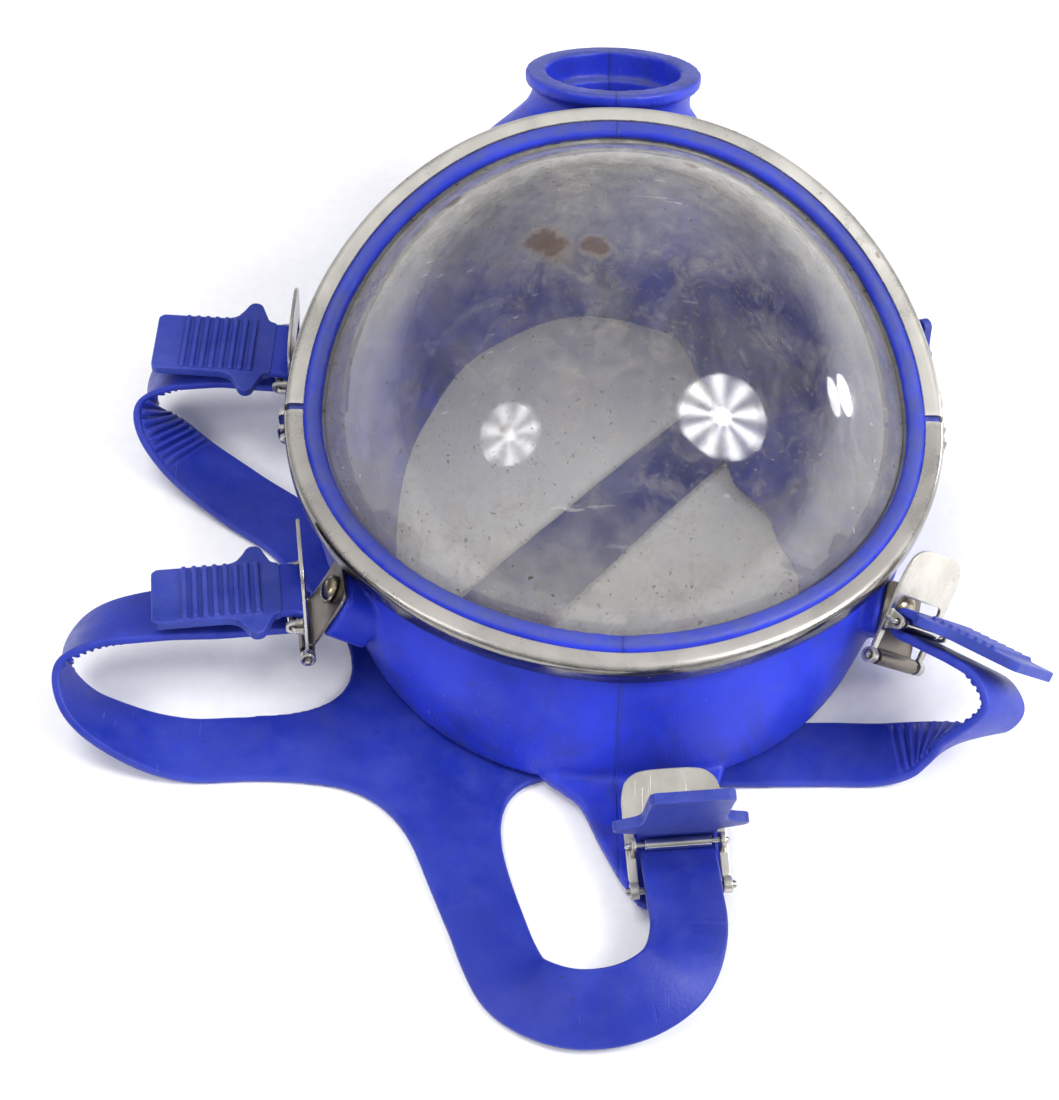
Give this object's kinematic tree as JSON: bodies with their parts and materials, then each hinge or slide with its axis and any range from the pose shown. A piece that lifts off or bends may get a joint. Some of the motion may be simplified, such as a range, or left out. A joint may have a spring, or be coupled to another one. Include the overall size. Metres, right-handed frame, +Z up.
{
  "type": "full face respirator",
  "caption": "Rubber full face respirator with a clamped domed visor, a chin hose socket and a buckled rubber head harness, lying visor up.",
  "frame": {"origin": "bottom centre of the whole object's box, on the surface the mask lies on", "axes": "+Z up out of the visor, +Y towards the chin and hose socket, -Y towards the forehead, +X to the side of the two folded-under straps"},
  "size_m": [0.262, 0.3002, 0.1032],
  "materials": {
    "blue_rubber_mask": "moulded, satin, dusty",
    "blue_rubber_harness": "moulded, matt",
    "blue_rubber_tab": "moulded, ribbed",
    "visor_clear": "clear, scuffed and stained",
    "clamp_plate": "nickel plate, tarnished",
    "fastener": "plated, dull",
    "buckle_steel": "stamped, bright with tarnish",
    "roller_steel": "polished",
    "stud_metal": "nickel plated, worn"
  },
  "bodies": {
    "facepiece": {"facepiece_body": "blue_rubber_mask", "visor_lens": "visor_clear", "clamp_upper": "clamp_plate", "clamp_lower": "clamp_plate", "clamp_screw_left": "fastener", "clamp_screw_right": "fastener", "clamp_nut_left": "fastener", "clamp_nut_right": "fastener", "harness_hub": "blue_rubber_harness", "stud_forehead": "stud_metal", "stud_temple_left": "stud_metal", "stud_temple_right": "stud_metal", "stud_cheek_left": "stud_metal", "stud_cheek_right": "stud_metal", "strap_arm_forehead": "blue_rubber_harness", "strap_arm_temple_left": "blue_rubber_harness", "strap_arm_temple_right": "blue_rubber_harness", "strap_arm_cheek_left": "blue_rubber_harness", "strap_arm_cheek_right": "blue_rubber_harness"},
    "buckle_forehead": {"buckle_base_forehead": "buckle_steel"},
    "lever_forehead": {"lever_plate_forehead": "buckle_steel", "hinge_rod_forehead": "buckle_steel", "roller_wire_forehead": "buckle_steel"},
    "rollerbody_forehead": {"roller_forehead": "roller_steel"},
    "tab_forehead": {"pull_tab_forehead": "blue_rubber_tab"},
    "buckle_temple_left": {"buckle_base_temple_left": "buckle_steel"},
    "lever_temple_left": {"lever_plate_temple_left": "buckle_steel", "hinge_rod_temple_left": "buckle_steel", "roller_wire_temple_left": "buckle_steel"},
    "rollerbody_temple_left": {"roller_temple_left": "roller_steel"},
    "tab_temple_left": {"pull_tab_temple_left": "blue_rubber_tab"},
    "buckle_temple_right": {"buckle_base_temple_right": "buckle_steel"},
    "lever_temple_right": {"lever_plate_temple_right": "buckle_steel", "hinge_rod_temple_right": "buckle_steel", "roller_wire_temple_right": "buckle_steel"},
    "rollerbody_temple_right": {"roller_temple_right": "roller_steel"},
    "tab_temple_right": {"pull_tab_temple_right": "blue_rubber_tab"},
    "buckle_cheek_left": {"buckle_base_cheek_left": "buckle_steel"},
    "lever_cheek_left": {"lever_plate_cheek_left": "buckle_steel", "hinge_rod_cheek_left": "buckle_steel", "roller_wire_cheek_left": "buckle_steel"},
    "rollerbody_cheek_left": {"roller_cheek_left": "roller_steel"},
    "tab_cheek_left": {"pull_tab_cheek_left": "blue_rubber_tab"},
    "buckle_cheek_right": {"buckle_base_cheek_right": "buckle_steel"},
    "lever_cheek_right": {"lever_plate_cheek_right": "buckle_steel", "hinge_rod_cheek_right": "buckle_steel", "roller_wire_cheek_right": "buckle_steel"},
    "rollerbody_cheek_right": {"roller_cheek_right": "roller_steel"},
    "tab_cheek_right": {"pull_tab_cheek_right": "blue_rubber_tab"}
  },
  "joints": [
    {"name": "swivel_forehead", "type": "hinge", "parent": "facepiece", "child": "buckle_forehead", "pos_m": [0.03212, -0.09222, 0.00657], "axis": [0, 0, 1], "range_deg": [-8, 8], "deforming": ["strap_arm_forehead"]},
    {"name": "lever_hinge_forehead", "type": "hinge", "parent": "buckle_forehead", "child": "lever_forehead", "pos_m": [0.03362, -0.10714, 0.00777], "axis": [0.995, 0.1, 0], "range_deg": [-5, 20], "deforming": ["strap_arm_forehead"]},
    {"name": "roller_spin_forehead", "type": "hinge", "parent": "lever_forehead", "child": "rollerbody_forehead", "pos_m": [0.03267, -0.09775, 0.01431], "axis": [0.995, 0.1, 0], "continuous": true, "deforming": ["strap_arm_forehead"]},
    {"name": "tab_pull_forehead", "type": "slide", "parent": "lever_forehead", "child": "tab_forehead", "axis": [0.0309, -0.3075, 0.9511], "range_m": [0, 0.012], "deforming": ["strap_arm_forehead"]},
    {"name": "swivel_temple_left", "type": "hinge", "parent": "facepiece", "child": "buckle_temple_left", "pos_m": [-0.05738, -0.02822, 0.02547], "axis": [-0.8698, -0.0078, 0.4933], "range_deg": [-8, 8], "deforming": ["strap_arm_temple_left"]},
    {"name": "lever_hinge_temple_left", "type": "hinge", "parent": "buckle_temple_left", "child": "lever_temple_left", "pos_m": [-0.06561, -0.03166, 0.01335], "axis": [0.1197, -0.9733, 0.1957], "range_deg": [-5, 20], "deforming": ["strap_arm_temple_left"]},
    {"name": "roller_spin_temple_left", "type": "hinge", "parent": "lever_temple_left", "child": "rollerbody_temple_left", "pos_m": [-0.06911, -0.02992, 0.02415], "axis": [0.1197, -0.9733, 0.1957], "continuous": true, "deforming": ["strap_arm_temple_left"]},
    {"name": "tab_pull_temple_left", "type": "slide", "parent": "lever_temple_left", "child": "tab_temple_left", "axis": [-0.9926, -0.1214, 0.0034], "range_m": [0, 0.012], "deforming": ["strap_arm_temple_left"]},
    {"name": "swivel_temple_right", "type": "hinge", "parent": "facepiece", "child": "buckle_temple_right", "pos_m": [0.09442, -0.02841, 0.02327], "axis": [0.7392, -0.476, 0.4765], "range_deg": [-8, 8], "deforming": ["strap_arm_temple_right"]},
    {"name": "lever_hinge_temple_right", "type": "hinge", "parent": "buckle_temple_right", "child": "lever_temple_right", "pos_m": [0.0926, -0.04131, 0.01573], "axis": [0.6489, 0.3139, -0.693], "range_deg": [-5, 20], "deforming": ["strap_arm_temple_right"]},
    {"name": "roller_spin_temple_right", "type": "hinge", "parent": "lever_temple_right", "child": "rollerbody_temple_right", "pos_m": [0.09893, -0.03632, 0.02391], "axis": [0.6489, 0.3139, -0.693], "continuous": true, "deforming": ["strap_arm_temple_right"]},
    {"name": "tab_pull_temple_right", "type": "slide", "parent": "lever_temple_right", "child": "tab_temple_right", "axis": [0.6608, -0.684, 0.3089], "range_m": [0, 0.012], "deforming": ["strap_arm_temple_right"]},
    {"name": "swivel_cheek_left", "type": "hinge", "parent": "facepiece", "child": "buckle_cheek_left", "pos_m": [-0.06488, 0.05679, 0.02397], "axis": [-0.8523, 0.0401, 0.5214], "range_deg": [-8, 8], "deforming": ["strap_arm_cheek_left"]},
    {"name": "lever_hinge_cheek_left", "type": "hinge", "parent": "buckle_cheek_left", "child": "lever_cheek_left", "pos_m": [-0.07373, 0.05683, 0.0118], "axis": [-0.0342, -0.9992, 0.0209], "range_deg": [-5, 20], "deforming": ["strap_arm_cheek_left"]},
    {"name": "roller_spin_cheek_left", "type": "hinge", "parent": "lever_cheek_left", "child": "rollerbody_cheek_left", "pos_m": [-0.07675, 0.05717, 0.02288], "axis": [-0.0342, -0.9992, 0.0209], "continuous": true, "deforming": ["strap_arm_cheek_left"]},
    {"name": "tab_pull_cheek_left", "type": "slide", "parent": "lever_cheek_left", "child": "tab_cheek_left", "axis": [-0.9991, 0.0347, 0.0251], "range_m": [0, 0.012], "deforming": ["strap_arm_cheek_left"]},
    {"name": "swivel_cheek_right", "type": "hinge", "parent": "facepiece", "child": "buckle_cheek_right", "pos_m": [0.09762, 0.04879, 0.02197], "axis": [0.9499, 0.2032, -0.2374], "range_deg": [-8, 8], "deforming": ["strap_arm_cheek_right"]},
    {"name": "lever_hinge_cheek_right", "type": "hinge", "parent": "buckle_cheek_right", "child": "lever_cheek_right", "pos_m": [0.09544, 0.06364, 0.02093], "axis": [0.2211, 0.1001, 0.9701], "range_deg": [-5, 20], "deforming": ["strap_arm_cheek_right"]},
    {"name": "roller_spin_cheek_right", "type": "hinge", "parent": "lever_cheek_right", "child": "rollerbody_cheek_right", "pos_m": [0.10333, 0.05535, 0.01999], "axis": [0.2211, 0.1001, 0.9701], "continuous": true, "deforming": ["strap_arm_cheek_right"]},
    {"name": "tab_pull_cheek_right", "type": "slide", "parent": "lever_cheek_right", "child": "tab_cheek_right", "axis": [-0.4592, 0.8882, 0.013], "range_m": [0, 0.012], "deforming": ["strap_arm_cheek_right"]}
  ]
}
